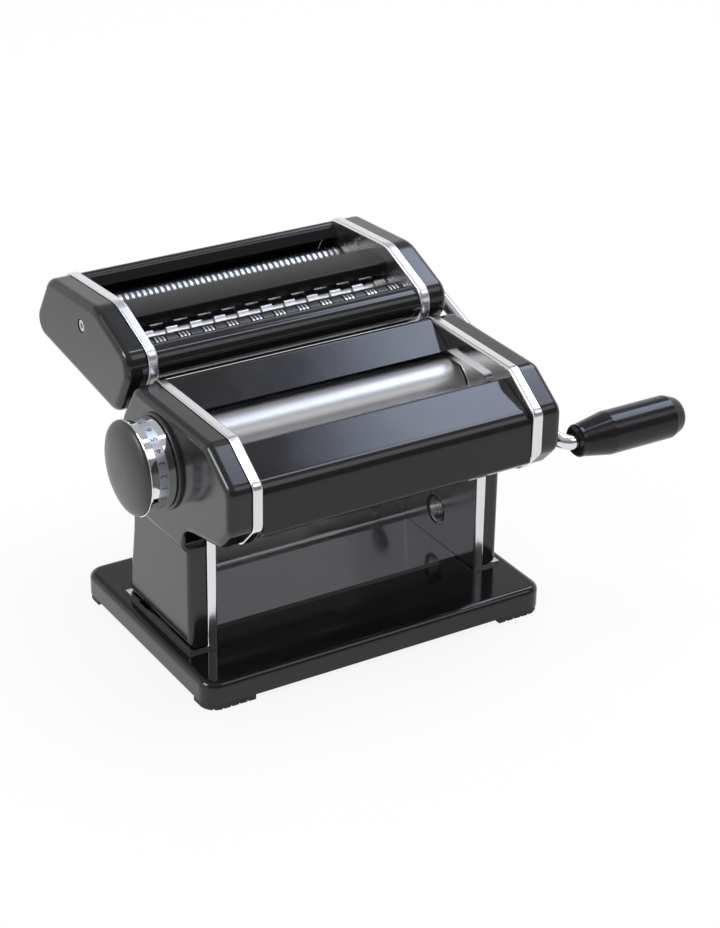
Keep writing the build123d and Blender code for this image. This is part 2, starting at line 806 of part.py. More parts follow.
def cutter_cover(side):
    """The head's moulded end cover; the right one has openings for the two crank sockets."""
    with BuildPart() as cover:
        outline = rounded_outline(softened(head_corners), cover_inset)
        hollow = rounded_outline(softened(head_corners), cover_inset + cover_wall)
        add(cover_block(side, outline, head_cover_depth, cover_edge_r))
        add(
            cover_block(side, hollow, head_cover_depth - cover_wall, cover_edge_r - cover_wall),
            mode=Mode.SUBTRACT,
        )
        with BuildSketch(Plane.YZ.offset(side * (head_face_x - cover_boss_depth))):
            with Locations(screw_post):
                Circle(post_r)
        extrude(amount=side * (cover_boss_depth - cover_wall))
        with BuildSketch(Plane.YZ.offset(side * head_face_x)):
            with Locations(screw_post):
                Circle(cover_screw_r + seat_fit)
        extrude(amount=-side * cover_boss_depth, mode=Mode.SUBTRACT)
        with BuildSketch(Plane.YZ.offset(side * head_face_x)):
            with Locations(screw_post):
                Circle(screw_head_r + 0.6)
        extrude(amount=-side * screw_seat_depth, mode=Mode.SUBTRACT)
        if side == right:
            with BuildSketch(Plane.YZ.offset(head_face_x)):
                with Locations((wide_y, cutter_z), (narrow_y, cutter_z)):
                    Circle(socket_r + 0.6)
            extrude(amount=-cover_wall, mode=Mode.SUBTRACT)
    return cover.part


for side in (left, right):
    save(cutter_plate(side), f"cutter_plate_{side_names[side]}")
    save(cutter_cover(side), f"cutter_cover_{side_names[side]}")

with BuildPart() as cutter_cover_screws:
    for side in (left, right):
        seat_x = head_face_x - screw_seat_depth
        with BuildSketch(Plane.YZ.offset(side * seat_x)):
            with Locations(screw_post):
                Circle(screw_head_r)
        extrude(amount=side * screw_head_depth)
        with BuildSketch(Plane.YZ.offset(side * seat_x)):
            with Locations(screw_post):
                Circle(cover_screw_r)
        extrude(amount=-side * 9.0)
        with BuildSketch(Plane.YZ.offset(side * (seat_x + screw_head_depth))):
            with Locations(screw_post):
                RegularPolygon(1.5, 6)
        extrude(amount=-side * 0.9, mode=Mode.SUBTRACT)
save(cutter_cover_screws.part, "cutter_cover_screws")

# The nose is a rolled sheet, open at the back where the front cutter runs.
nose_opening_y = 3.6
with BuildPart() as cutter_nose:
    with BuildSketch(Plane.YZ):
        with Locations((nose_y, nose_z)):
            Circle(nose_r)
            Circle(nose_r - panel_sheet, mode=Mode.SUBTRACT)
        with Locations((nose_y + nose_opening_y + nose_r, nose_z)):
            Rectangle(2 * nose_r, 2 * nose_r, mode=Mode.SUBTRACT)
    extrude(amount=inner_x - 0.1, both=True)
save(cutter_nose.part, "cutter_nose")

cutter_bridge = bent_strip(
    [(58.2, 150.2), (60.2, 154.6), (80.6, 156.0), (82.2, 150.5)], [1.5, 2.0], -panel_sheet,
    inner_x - 0.1,
)
save(cutter_bridge, "cutter_bridge")

cutter_back_panel = bent_strip(
    [(106.5, 152.0), (111.0, 160.5), (129.4, 131.4), (119.0, 126.0)], [2.5, 6.0],
    -panel_sheet, inner_x - 0.1,
)
save(cutter_back_panel, "cutter_back_panel")

head_rod_places = [(37.5, 121.5), (73.5, 147.0), (118.0, 131.0)]
with BuildPart() as cutter_tie_rods:
    for y, z in head_rod_places:
        with BuildSketch(Plane.YZ.offset(-inner_x)):
            with Locations((y, z)):
                Circle(2.5)
        extrude(amount=2 * inner_x)
save(cutter_tie_rods.part, "cutter_tie_rods")

with BuildPart() as cutter_bushes:
    for side in (left, right):
        with BuildSketch(Plane.YZ.offset(side * (inner_x + 0.1))):
            with Locations(*[(y, cutter_z) for y in cutter_axes_y]):
                Circle(cutter_bush_r)
                Circle(shaft_r + running_fit, mode=Mode.SUBTRACT)
        extrude(amount=side * 3.2)
save(cutter_bushes.part, "cutter_bushes")

# ---------------------------------------------------------------- cutters
strips_across = int(roller_length // wide_strip)
strip_starts = [-roller_length / 2 + 0.1 + n * wide_strip for n in range(strips_across)]
front_discs = strip_starts[0::2]
rear_discs = strip_starts[1::2]


def wide_cutter(y, disc_starts, core):
    """A wide cutting roller: discs that run between the discs of its neighbour."""
    with BuildPart() as cutter:
        add(core)
        with BuildSketch(Plane.YZ.offset(-roller_length / 2)):
            with Locations((y, cutter_z)):
                Circle(cutter_core_r)
        extrude(amount=roller_length)
        for start in disc_starts:
            with BuildSketch(Plane.YZ.offset(start + cutter_side_gap)):
                with Locations((y, cutter_z)):
                    Circle(cutter_r)
            extrude(amount=wide_strip - 2 * cutter_side_gap)
    return cutter.part


def narrow_cutter(y, core):
    """A narrow cutting roller, kept plain at the radius where the fine grooves of a pair interleave."""
    with BuildPart() as cutter:
        add(core)
        with BuildSketch(Plane.YZ.offset(-roller_length / 2)):
            with Locations((y, cutter_z)):
                Circle(narrow_plain_r)
        extrude(amount=roller_length)
    return cutter.part


core_start_x = -(plate_x + 2.0)
core_end_x = cutter_gear_x + cutter_gear_width
save(
    wide_cutter(wide_y, rear_discs, shaft_with_socket(wide_y, cutter_z, core_start_x, shaft_r)),
    "wide_cutter_rear",
)
save(
    wide_cutter(
        wide_front_y, front_discs,
        rod_between(wide_front_y, cutter_z, shaft_r, core_start_x, core_end_x),
    ),
    "wide_cutter_front",
)
save(
    narrow_cutter(narrow_y, shaft_with_socket(narrow_y, cutter_z, core_start_x, shaft_r)),
    "narrow_cutter_rear",
)
save(
    narrow_cutter(
        narrow_front_y, rod_between(narrow_front_y, cutter_z, shaft_r, core_start_x, core_end_x)
    ),
    "narrow_cutter_front",
)

for y, phase, name in (
    (wide_front_y, 0.0, "wide_gear_front"),
    (wide_y, 180.0 / cutter_gear_teeth, "wide_gear_rear"),
    (narrow_front_y, 0.0, "narrow_gear_front"),
    (narrow_y, 180.0 / cutter_gear_teeth, "narrow_gear_rear"),
):
    gear = spur_gear(
        y, cutter_z, cutter_gear_x, cutter_gear_width, cutter_gear_teeth,
        cutter_gear_root_r, cutter_gear_tip_r, 2.6, 1.1, shaft_r + seat_fit, phase,
    )
    save(gear, name)

# Stripping combs stand radially off the cutters, below the nip on the outer side of each pair.
comb_sheet = 1.2
comb_root = 13.5


def comb_plane(y, angle_deg):
    """A sketch plane through a cutter's axis: local x along the axis, local y outwards."""
    out_y, out_z = cos(radians(angle_deg)), sin(radians(angle_deg))
    return Plane(origin=(0, y, cutter_z), x_dir=(1, 0, 0), z_dir=(0, -out_z, out_y))


def comb(y, angle_deg, gap_starts, tooth_start_r):
    """A comb plate whose teeth reach into the gaps that start at gap_starts."""
    root_start_r = cutter_r + 0.5
    with BuildPart() as plate:
        with BuildSketch(comb_plane(y, angle_deg)):
            with Locations((0, (root_start_r + comb_root) / 2)):
                Rectangle(2 * inner_x, comb_root - root_start_r)
            for start in gap_starts:
                with Locations((start + wide_strip / 2, (tooth_start_r + root_start_r) / 2)):
                    Rectangle(wide_strip - 1.2, root_start_r - tooth_start_r + 0.2)
        extrude(amount=comb_sheet / 2, both=True)
    return plate.part


front_comb_deg, rear_comb_deg = -135.0, -45.0
tooth_start_r = cutter_core_r + 0.4
with BuildPart() as wide_combs:
    add(comb(wide_front_y, front_comb_deg, rear_discs, tooth_start_r))
    add(comb(wide_y, rear_comb_deg, front_discs[:-1], tooth_start_r))
save(wide_combs.part, "wide_combs")

with BuildPart() as narrow_combs:
    add(comb(narrow_front_y, front_comb_deg, [], tooth_start_r))
    add(comb(narrow_y, rear_comb_deg, [], tooth_start_r))
save(narrow_combs.part, "narrow_combs")

# ---------------------------------------------------------------- crank and grip
crank_tip_x = socket_end_x - socket_depth + 0.5
grip_bore_end_x = grip_start_x + grip_length - 7.0
with BuildPart() as crank_arm:
    with BuildLine() as rod_path:
        FilletPolyline(
            (crank_tip_x, wide_y, cutter_z),
            (crank_plane_x, wide_y, cutter_z),
            (crank_plane_x, grip_y, grip_z),
            (grip_start_x + 0.6, grip_y, grip_z),
            radius=[crank_bend_r, 8.0],
        )
    with BuildSketch(Plane.YZ.offset(crank_tip_x)):
        with Locations((wide_y, cutter_z)):
            Circle(crank_rod_r)
    sweep()
    with BuildSketch(Plane.YZ.offset(grip_start_x + 0.6)):
        with Locations((grip_y, grip_z)):
            Circle(grip_spindle_r)
    extrude(amount=grip_bore_end_x - 1.0 - grip_start_x)
    with BuildSketch(Plane.YZ.offset(socket_end_x - 2.0)):
        with Locations((wide_y, cutter_z)):
            Rectangle(lug_width, 2 * lug_reach)
    extrude(amount=2.0)
save(crank_arm.part, "crank_arm")

grip_neck_r = 8.5
with BuildPart() as crank_grip:
    with BuildSketch():
        with BuildLine():
            Polyline((0, 0), (0, grip_neck_r - 0.8), (0.8, grip_neck_r), (2.4, grip_neck_r))
            Line((2.4, grip_neck_r), (19.0, grip_r))
            Line((19.0, grip_r), (57.0, grip_r))
            Line((57.0, grip_r), (62.0, 9.6))
            RadiusArc((62.0, 9.6), (grip_length, 5.0), 5.5)
            Polyline((grip_length, 5.0), (grip_length, 0), (0, 0))
        make_face()
    revolve(axis=Axis.X)
    with BuildSketch(Plane.YZ):
        Circle(grip_spindle_r + running_fit)
    extrude(amount=grip_length - 6.4, mode=Mode.SUBTRACT)
    with BuildSketch(Plane.YZ):
        Circle(crank_rod_r + 0.5)
    extrude(amount=1.2, mode=Mode.SUBTRACT)
crank_grip_part = Location((grip_start_x, grip_y, grip_z)) * crank_grip.part
save(crank_grip_part, "crank_grip")
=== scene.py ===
# %% [markdown]
# # A pasta roller machine: the looks
#
# The machine's shapes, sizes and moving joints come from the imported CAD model. This script gives
# them their finishes, adds the small things that only a picture needs, and sets up a plain studio.
# Everything is in metres, in the CAD model's own frame: +X runs from the knob to the crank, +Y from
# the rollers to the cutter head, +Z up, and the table is at z = 0.

# %% Load the machine
import math

import bmesh
import bpy
from mathutils import Matrix, Vector


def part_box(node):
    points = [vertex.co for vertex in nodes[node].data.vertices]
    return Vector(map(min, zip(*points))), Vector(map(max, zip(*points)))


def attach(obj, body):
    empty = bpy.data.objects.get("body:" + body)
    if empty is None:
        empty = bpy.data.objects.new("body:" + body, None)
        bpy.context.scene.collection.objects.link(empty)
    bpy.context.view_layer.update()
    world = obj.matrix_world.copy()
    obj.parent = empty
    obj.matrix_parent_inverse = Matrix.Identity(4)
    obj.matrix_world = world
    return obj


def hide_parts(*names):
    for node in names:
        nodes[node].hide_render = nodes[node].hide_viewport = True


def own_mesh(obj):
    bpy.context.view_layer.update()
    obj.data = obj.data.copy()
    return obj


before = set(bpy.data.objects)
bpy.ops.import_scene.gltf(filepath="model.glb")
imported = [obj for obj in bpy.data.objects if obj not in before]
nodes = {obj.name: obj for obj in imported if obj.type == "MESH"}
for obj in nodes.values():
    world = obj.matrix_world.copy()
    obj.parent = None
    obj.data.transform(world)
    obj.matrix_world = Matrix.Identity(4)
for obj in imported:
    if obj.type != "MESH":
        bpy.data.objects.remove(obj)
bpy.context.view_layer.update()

# %% [markdown]
# ## The camera
#
# The camera stands to the left and above, and looks down on the knob's corner. An azimuth, an
# elevation and a small roll give its three directions; the distance and the focal length together
# set how strongly the far end shrinks. This pair is a long portrait lens from about 1.2 m.

# %% Place the camera
azimuth = math.radians(31.93)
elevation = math.radians(26.95)
roll = math.radians(0.99)
camera_distance = 1.228
look_at = Vector((0.0273, 0.0, 0.0735))

towards_camera = Vector(
    (
        -math.sin(azimuth) * math.cos(elevation),
        -math.cos(azimuth) * math.cos(elevation),
        math.sin(elevation),
    )
)
level_right = Vector((math.cos(azimuth), -math.sin(azimuth), 0.0))
level_up = towards_camera.cross(level_right)
camera_right = level_right * math.cos(roll) + level_up * math.sin(roll)
camera_up = towards_camera.cross(camera_right)

camera_data = bpy.data.cameras.new("studio_camera")
camera_data.sensor_width = 36.0
camera_data.lens = 92.99
camera_data.clip_end = 60.0
camera = bpy.data.objects.new("studio_camera", camera_data)
bpy.context.scene.collection.objects.link(camera)
turn = Matrix((camera_right, camera_up, towards_camera)).transposed().to_4x4()
camera.matrix_world = Matrix.Translation(look_at + towards_camera * camera_distance) @ turn
bpy.context.scene.camera = camera
print("camera at", [round(v, 3) for v in camera.matrix_world.translation])

# %% [markdown]
# ## Small helpers for materials
#
# Every finish starts from one Principled shader. Its even values are set straight on the sockets.
# What varies over the surface (fine grain, dust, polish lines) is a noise texture on Object
# coordinates: they are metres on the piece itself, so the pattern stays put when the piece moves.

# %% Material helpers
noise_low, noise_high = 0.3, 0.7  # most values of a noise texture lie between these


def new_finish(name, color, roughness, metallic=0.0, **sockets):
    """A material with one Principled shader; further sockets are set by their names."""
    finish = bpy.data.materials.new(name)
    finish.use_nodes = True
    shader = finish.node_tree.nodes["Principled BSDF"]
    shader.inputs["Base Color"].default_value = (*color, 1.0)
    shader.inputs["Roughness"].default_value = roughness
    shader.inputs["Metallic"].default_value = metallic
    for socket, value in sockets.items():
        shader.inputs[socket.replace("_", " ")].default_value = value
    return finish


def grain(finish, size, stretch=(1.0, 1.0, 1.0), detail=2.0):
    """A noise texture whose spots are about size metres, stretched along the piece's own axes."""
    tree = finish.node_tree
    place = tree.nodes.new("ShaderNodeTexCoord")
    mapping = tree.nodes.new("ShaderNodeMapping")
    mapping.inputs["Scale"].default_value = [1.0 / (size * s) for s in stretch]
    noise = tree.nodes.new("ShaderNodeTexNoise")
    noise.inputs["Scale"].default_value = 1.0
    noise.inputs["Detail"].default_value = detail
    tree.links.new(place.outputs["Object"], mapping.inputs["Vector"])
    tree.links.new(mapping.outputs["Vector"], noise.inputs["Vector"])
    return noise.outputs["Fac"]


def spread(finish, value, low, high):
    """Let a noise value drive the finish's roughness between low and high."""
    tree = finish.node_tree
    rescale = tree.nodes.new("ShaderNodeMapRange")
    rescale.inputs["From Min"].default_value = noise_low
    rescale.inputs["From Max"].default_value = noise_high
    rescale.inputs["To Min"].default_value = low
    rescale.inputs["To Max"].default_value = high
    tree.links.new(value, rescale.inputs["Value"])
    shader = tree.nodes["Principled BSDF"]
    tree.links.new(rescale.outputs["Result"], shader.inputs["Roughness"])


def tint(finish, value, low, high):
    """Blend the base colour between two tones by a noise value."""
    tree = finish.node_tree
    blend = tree.nodes.new("ShaderNodeMix")
    blend.data_type = "RGBA"
    blend.inputs[6].default_value = (*low, 1.0)
    blend.inputs[7].default_value = (*high, 1.0)
    tree.links.new(value, blend.inputs["Factor"])
    tree.links.new(blend.outputs[2], tree.nodes["Principled BSDF"].inputs["Base Color"])


def relief(finish, value, depth):
    """Let a noise value raise and lower the surface by about depth metres."""
    tree = finish.node_tree
    bump = tree.nodes.new("ShaderNodeBump")
    bump.inputs["Strength"].default_value = 1.0
    bump.inputs["Distance"].default_value = depth
    tree.links.new(value, bump.inputs["Height"])
    tree.links.new(bump.outputs["Normal"], tree.nodes["Principled BSDF"].inputs["Normal"])


def coat_node(names, finish):
    """Give CAD pieces a finish in place of the plain one they were packed with."""
    for name in names:
        mesh = nodes[name].data
        mesh.materials.clear()
        mesh.materials.append(finish)


# %% [markdown]
# ## Black enamel
#
# The base, the sheets between the end plates and the head's panels are steel under hard black
# enamel. Almost all that the eye sees on it is reflection. What keeps it from looking like glass is
# a very slight orange peel from the spray gun, and a breath of dust that dulls it in patches.

# %% Black enamel
enamel = new_finish("black_enamel", (0.008, 0.0075, 0.008), 0.10, IOR=1.45)
relief(enamel, grain(enamel, 0.0022, detail=1.0), 0.000004)
spread(enamel, grain(enamel, 0.03), 0.07, 0.13)
coat_node(
    ["base_tray", "front_cover", "hopper_plate", "cutter_bridge", "cutter_back_panel",
     "cutter_nose"],
    enamel,
)
print("enamel on the base and the sheets")

# %% [markdown]
# ## Moulded black covers
#
# The end covers are moulded plastic with a softer gloss: edges show as soft light lines, and the
# flat faces take a smooth grey from the table. A fine mould texture widens the reflections. The
# knob's cap and collar, the scrapers and the combs are duller, and the grip is lacquered.

# %% Moulded covers
moulding = new_finish("moulded_black", (0.010, 0.010, 0.0105), 0.14, IOR=1.50)
relief(moulding, grain(moulding, 0.0006), 0.000006)
spread(moulding, grain(moulding, 0.02), 0.12, 0.18)
coat_node(
    ["side_cover_left", "side_cover_right", "cutter_cover_left", "cutter_cover_right"], moulding
)

knob_black = new_finish("knob_satin_black", (0.030, 0.029, 0.031), 0.30)
relief(knob_black, grain(knob_black, 0.0004), 0.000008)
spread(knob_black, grain(knob_black, 0.008), 0.30, 0.38)
coat_node(["knob_cap", "knob_collar", "roller_scrapers", "wide_combs", "narrow_combs"], knob_black)

grip_black = new_finish("grip_lacquer", (0.009, 0.009, 0.010), 0.16, IOR=1.38)
relief(grip_black, grain(grip_black, 0.003, (2.0, 1.0, 1.0)), 0.00001)
spread(grip_black, grain(grip_black, 0.012), 0.12, 0.20)
coat_node(["crank_grip"], grip_black)
print("black mouldings done")

# %% [markdown]
# ## Polished steel and chrome
#
# The end plates are bright polished steel, the knob's barrel and the crank are chrome plated. Both
# are mirrors, so the studio makes their look. Polishing leaves hair-thin lines along a plate: a
# very shallow noise, stretched far along Z on the body and along Y on the head, whose plates are
# brushed and duller. Shafts and fittings are satin, and the screws are zinc plated.

# %% Bright metals
plate_steel = new_finish("polished_plate", (0.80, 0.80, 0.815), 0.17, 1.0)
relief(plate_steel, grain(plate_steel, 0.00025, (1.0, 1.0, 40.0)), 0.0000015)
spread(plate_steel, grain(plate_steel, 0.015), 0.14, 0.20)
coat_node(["side_plate_left", "side_plate_right", "dough_guides"], plate_steel)

head_steel = new_finish("brushed_head_plate", (0.80, 0.80, 0.815), 0.28, 1.0)
relief(head_steel, grain(head_steel, 0.00025, (1.0, 40.0, 1.0)), 0.000001)
spread(head_steel, grain(head_steel, 0.015), 0.25, 0.31)
coat_node(["cutter_plate_left", "cutter_plate_right"], head_steel)

panel_steel = new_finish("rear_sheet", (0.66, 0.66, 0.68), 0.12, 1.0)
tint(panel_steel, grain(panel_steel, 0.04), (0.64, 0.64, 0.66), (0.68, 0.68, 0.70))
spread(panel_steel, grain(panel_steel, 0.02), 0.10, 0.14)
coat_node(["rear_panel"], panel_steel)

chrome = new_finish("chrome_plate", (0.83, 0.83, 0.84), 0.045, 1.0)
spread(chrome, grain(chrome, 0.01), 0.03, 0.07)
coat_node(["knob_barrel", "knob_bezel", "drive_collar", "crank_arm"], chrome)

satin_steel = new_finish("satin_steel", (0.62, 0.62, 0.63), 0.28, 1.0)
relief(satin_steel, grain(satin_steel, 0.0003, (30.0, 1.0, 1.0)), 0.000004)
spread(satin_steel, grain(satin_steel, 0.004), 0.22, 0.34)
coat_node(
    ["clamp_socket", "accessory_rails", "front_roller_shaft", "rear_roller_shaft",
     "carriage_left", "carriage_right", "carriage_link", "adjuster_shaft", "cutter_tie_rods",
     "knob_spring"],
    satin_steel,
)

zinc = new_finish("bright_zinc", (0.60, 0.61, 0.64), 0.22, 1.0)
tint(zinc, grain(zinc, 0.004), (0.56, 0.57, 0.60), (0.66, 0.66, 0.68))
spread(zinc, grain(zinc, 0.002), 0.18, 0.30)
coat_node(["base_screws", "base_nuts", "cutter_cover_screws"], zinc)
print("bright metals done")

# %% [markdown]
# ## Turned aluminium
#
# The rollers and the cutters are turned on a lathe from aluminium. The tool leaves rings round the
# axis, so the grain varies quickly along X and hardly at all round the piece. The smooth rollers
# are ground after it and reflect less sharply. The gears are cut steel.

# %% Turned aluminium
roller_metal = new_finish("turned_aluminium", (0.58, 0.58, 0.59), 0.24, 1.0)
relief(roller_metal, grain(roller_metal, 0.0004, (1.0, 400.0, 400.0)), 0.000002)
spread(roller_metal, grain(roller_metal, 0.0012, (1.0, 200.0, 200.0)), 0.21, 0.27)
coat_node(["wide_cutter_rear"], roller_metal)

sheet_roller_metal = new_finish("ground_roller", (0.42, 0.412, 0.40), 0.34, 1.0)
relief(sheet_roller_metal, grain(sheet_roller_metal, 0.0004, (1.0, 400.0, 400.0)), 0.000002)
spread(sheet_roller_metal, grain(sheet_roller_metal, 0.0012, (1.0, 200.0, 200.0)), 0.33, 0.39)
coat_node(["front_roller", "rear_roller"], sheet_roller_metal)

gear_steel = new_finish("hobbed_steel", (0.50, 0.50, 0.52), 0.33, 1.0)
relief(gear_steel, grain(gear_steel, 0.0005, (1.0, 20.0, 20.0)), 0.000006)
spread(gear_steel, grain(gear_steel, 0.002), 0.28, 0.42)
coat_node(
    ["front_roller_gear", "rear_roller_gear", "wide_gear_front", "wide_gear_rear",
     "narrow_gear_front", "narrow_gear_rear"],
    gear_steel,
)
print("turned metal done")

# %% [markdown]
# ## Plastics and rubber
#
# The bearings are natural white acetal with a dull, slightly mottled skin. The feet are black
# rubber, duller still and powdery, and the band under the thickness numbers is satin silver.

# %% Plastics and rubber
acetal = new_finish("natural_acetal", (0.70, 0.70, 0.68), 0.38)
tint(acetal, grain(acetal, 0.006), (0.66, 0.66, 0.64), (0.74, 0.74, 0.72))
relief(acetal, grain(acetal, 0.0006), 0.000008)
coat_node(["roller_bushes", "cutter_bushes"], acetal)

band_silver = new_finish("satin_silver_band", (0.46, 0.48, 0.53), 0.32, 0.75)
relief(band_silver, grain(band_silver, 0.0003, (1.0, 60.0, 60.0)), 0.000003)
spread(band_silver, grain(band_silver, 0.004), 0.28, 0.36)
coat_node(["number_ring"], band_silver)

rubber = new_finish("foot_rubber", (0.022, 0.022, 0.022), 0.75)
tint(rubber, grain(rubber, 0.004), (0.017, 0.017, 0.017), (0.032, 0.031, 0.030))
relief(rubber, grain(rubber, 0.0008), 0.00004)
coat_node(["rubber_feet"], rubber)
print("plastics and rubber done")

# %% [markdown]
# ## Helpers for turned and folded pieces
#
# Two shapes cover most of what's added. A turned piece is an outline of (x, radius) points
# spun round an axis along X, as a lathe would cut it. A folded sheet is a path of (y, z) points
# with rounded corners, given a thickness and drawn out along X, as a press brake would bend it.
# Both come out closed, so that light and shadow behave at their edges.

# %% Shape helpers
def add_piece(name, mesh, body, finish, *replaced, smooth_deg=40.0):
    """Put a finished mesh in the scene, smooth it, and let it ride on a body."""
    mesh.materials.clear()
    mesh.materials.append(finish)
    piece = bpy.data.objects.new(name, mesh)
    bpy.context.scene.collection.objects.link(piece)
    mesh.shade_smooth()
    mesh.set_sharp_from_angle(angle=math.radians(smooth_deg))
    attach(piece, body)
    if replaced:
        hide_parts(*replaced)
    print(name, "on", body, "with", len(mesh.polygons), "faces")
    return piece


def turned(name, outline, axis_y, axis_z, segments=96):
    """Spin a closed outline of (x, radius) points round the axis; radius 0 points become one."""
    shape = bmesh.new()
    rings = []
    for x, radius in outline:
        if radius == 0.0:
            rings.append([shape.verts.new((x, axis_y, axis_z))] * segments)
            continue
        turns = [2 * math.pi * k / segments for k in range(segments)]
        rings.append(
            [
                shape.verts.new((x, axis_y + radius * math.cos(a), axis_z + radius * math.sin(a)))
                for a in turns
            ]
        )
    closed = outline[0][1] != 0.0
    pairs = list(zip(rings, rings[1:])) + ([(rings[-1], rings[0])] if closed else [])
    for near, far in pairs:
        for k in range(segments):
            corners = [near[k], near[k - 1], far[k - 1], far[k]]
            corners = [v for i, v in enumerate(corners) if v not in corners[:i]]
            if len(corners) > 2:
                shape.faces.new(corners)
    bmesh.ops.recalc_face_normals(shape, faces=shape.faces)
    mesh = bpy.data.meshes.new(name)
    shape.to_mesh(mesh)
    shape.free()
    return mesh


def rounded_path(points, radius, steps=6):
    """The path with each inner corner replaced by an arc of the given radius."""
    path = [Vector(points[0])]
    for before, corner, after in zip(points, points[1:], points[2:]):
        corner = Vector(corner)
        one = (Vector(before) - corner).normalized()
        two = (Vector(after) - corner).normalized()
        half = one.angle(two) / 2
        cut = radius / math.tan(half)
        centre = corner + (one + two).normalized() * (radius / math.sin(half))
        start, end = corner + one * cut, corner + two * cut
        for k in range(steps + 1):
            mid = start.lerp(end, k / steps) - centre
            path.append(centre + mid.normalized() * radius)
    path.append(Vector(points[-1]))
    return path


def folded(name, points, bend_radius, thickness, x_start, x_end):
    """A sheet folded along points (y, z), thickened to its right-hand side, drawn out along X."""
    outer = rounded_path(points, bend_radius)
    inner = []
    for k, point in enumerate(outer):
        along = (outer[min(k + 1, len(outer) - 1)] - outer[max(k - 1, 0)]).normalized()
        inner.append(point + Vector((along.y, -along.x)) * thickness)
    loop = outer + inner[::-1]
    shape = bmesh.new()
    ends = [[shape.verts.new((x, p.x, p.y)) for p in loop] for x in (x_start, x_end)]
    count = len(loop)
    for k in range(count):
        shape.faces.new([ends[0][k], ends[0][k - 1], ends[1][k - 1], ends[1][k]])
    half = len(outer)
    for k in range(half - 1):
        for end in ends:
            shape.faces.new([end[k], end[k + 1], end[count - 2 - k], end[count - 1 - k]])
    bmesh.ops.recalc_face_normals(shape, faces=shape.faces)
    mesh = bpy.data.meshes.new(name)
    shape.to_mesh(mesh)
    shape.free()
    return mesh


# %% [markdown]
# ## Geometry Nodes helpers
#
# What repeats by a rule is grown by Geometry Nodes: a tree with named inputs, evaluated once and
# kept as a plain mesh. The small functions below only save typing: they open a tree, link or set a
# socket, add a node, close the tree, and evaluate it with given input values.

# %% Tree helpers
def start_tree(name, inputs):
    """A new geometry tree with the given (label, socket type) inputs and one geometry output."""
    tree = bpy.data.node_groups.new(name, "GeometryNodeTree")
    for label, kind in inputs:
        tree.interface.new_socket(name=label, in_out="INPUT", socket_type=kind)
    tree.interface.new_socket(name="Geometry", in_out="OUTPUT", socket_type="NodeSocketGeometry")
    entry = tree.nodes.new("NodeGroupInput")
    return tree, {socket.name: socket for socket in entry.outputs if socket.name}


def feed(tree, socket, value):
    """Link a socket into another, or set it when a plain value is given."""
    if isinstance(value, bpy.types.NodeSocket):
        tree.links.new(value, socket)
    else:
        socket.default_value = value


def step(tree, kind, output=0, settings=(), **inputs):
    """Add a node, set its properties, feed its inputs by name, and return one output."""
    node = tree.nodes.new(kind)
    for key, value in dict(settings).items():
        setattr(node, key, value)
    for key, value in inputs.items():
        feed(tree, node.inputs[key.replace("_", " ")], value)
    return node.outputs[output]


def end_tree(tree, geometry, finish):
    """Close a tree the way the export needs it: real geometry, then its material."""
    real = step(tree, "GeometryNodeRealizeInstances", Geometry=geometry)
    painted = step(tree, "GeometryNodeSetMaterial", Geometry=real, Material=finish)
    exit_node = tree.nodes.new("NodeGroupOutput")
    tree.links.new(painted, exit_node.inputs["Geometry"])


def grow(name, tree, **values):
    """Evaluate the tree with the given inputs and return the result as a plain mesh."""
    holder = bpy.data.objects.new(name + "_holder", bpy.data.meshes.new(name + "_empty"))
    bpy.context.scene.collection.objects.link(holder)
    modifier = holder.modifiers.new("grow", "NODES")
    modifier.node_group = tree
    for item in tree.interface.items_tree:
        if item.in_out == "INPUT" and item.name.replace(" ", "_") in values:
            modifier[item.identifier] = values[item.name.replace(" ", "_")]
    result = holder.evaluated_get(bpy.context.evaluated_depsgraph_get())
    mesh = bpy.data.meshes.new_from_object(result)
    mesh.name = name
    holder.modifiers.clear()
    bpy.data.objects.remove(holder)
    return mesh


# %% [markdown]
# ## The cutters' rings
#
# A cutting roller is one bar with grooves turned into it. The narrow pair has a ring every 3.4 mm,
# and the rings of one roller run in the grooves of the other. The wide front roller's discs carry
# three fine ribs each, which grip the sheet. Both patterns are rings repeated along X, so one tree
# makes them: a line of groups, each a short line of rings. The bars themselves and the tie rods
# under the hopper get a dark metal that is painted shade, for the shadow in the grooves' bottoms
# and under the hopper.

# %% Cutter rings
ring_tree, given = start_tree(
    "ring_groups",
    [
        ("Groups", "NodeSocketInt"),
        ("Group Pitch", "NodeSocketFloat"),
        ("Rings", "NodeSocketInt"),
        ("Ring Pitch", "NodeSocketFloat"),
        ("Start", "NodeSocketVector"),
        ("Radius", "NodeSocketFloat"),
        ("Width", "NodeSocketFloat"),
        ("Finish", "NodeSocketMaterial"),
    ],
)
ring = step(
    ring_tree, "GeometryNodeMeshCylinder",
    Vertices=56, Radius=given["Radius"], Depth=given["Width"],
)
ring_step = step(ring_tree, "ShaderNodeCombineXYZ", X=given["Ring Pitch"])
ring_line = step(ring_tree, "GeometryNodeMeshLine", Count=given["Rings"], Offset=ring_step)
ring_group = step(
    ring_tree, "GeometryNodeInstanceOnPoints",
    Points=ring_line, Instance=ring, Rotation=(0.0, math.pi / 2, 0.0),
)
group_step = step(ring_tree, "ShaderNodeCombineXYZ", X=given["Group Pitch"])
group_line = step(
    ring_tree, "GeometryNodeMeshLine",
    Count=given["Groups"], Offset=group_step, Start_Location=given["Start"],
)
rings = step(ring_tree, "GeometryNodeInstanceOnPoints", Points=group_line, Instance=ring_group)
end_tree(ring_tree, rings, given["Finish"])


def axis_of(name):
    """The middle of a turned piece in Y and Z, from its box."""
    low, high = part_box(name)
    return (low[1] + high[1]) / 2, (low[2] + high[2]) / 2


roller_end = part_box("front_roller")[1][0]

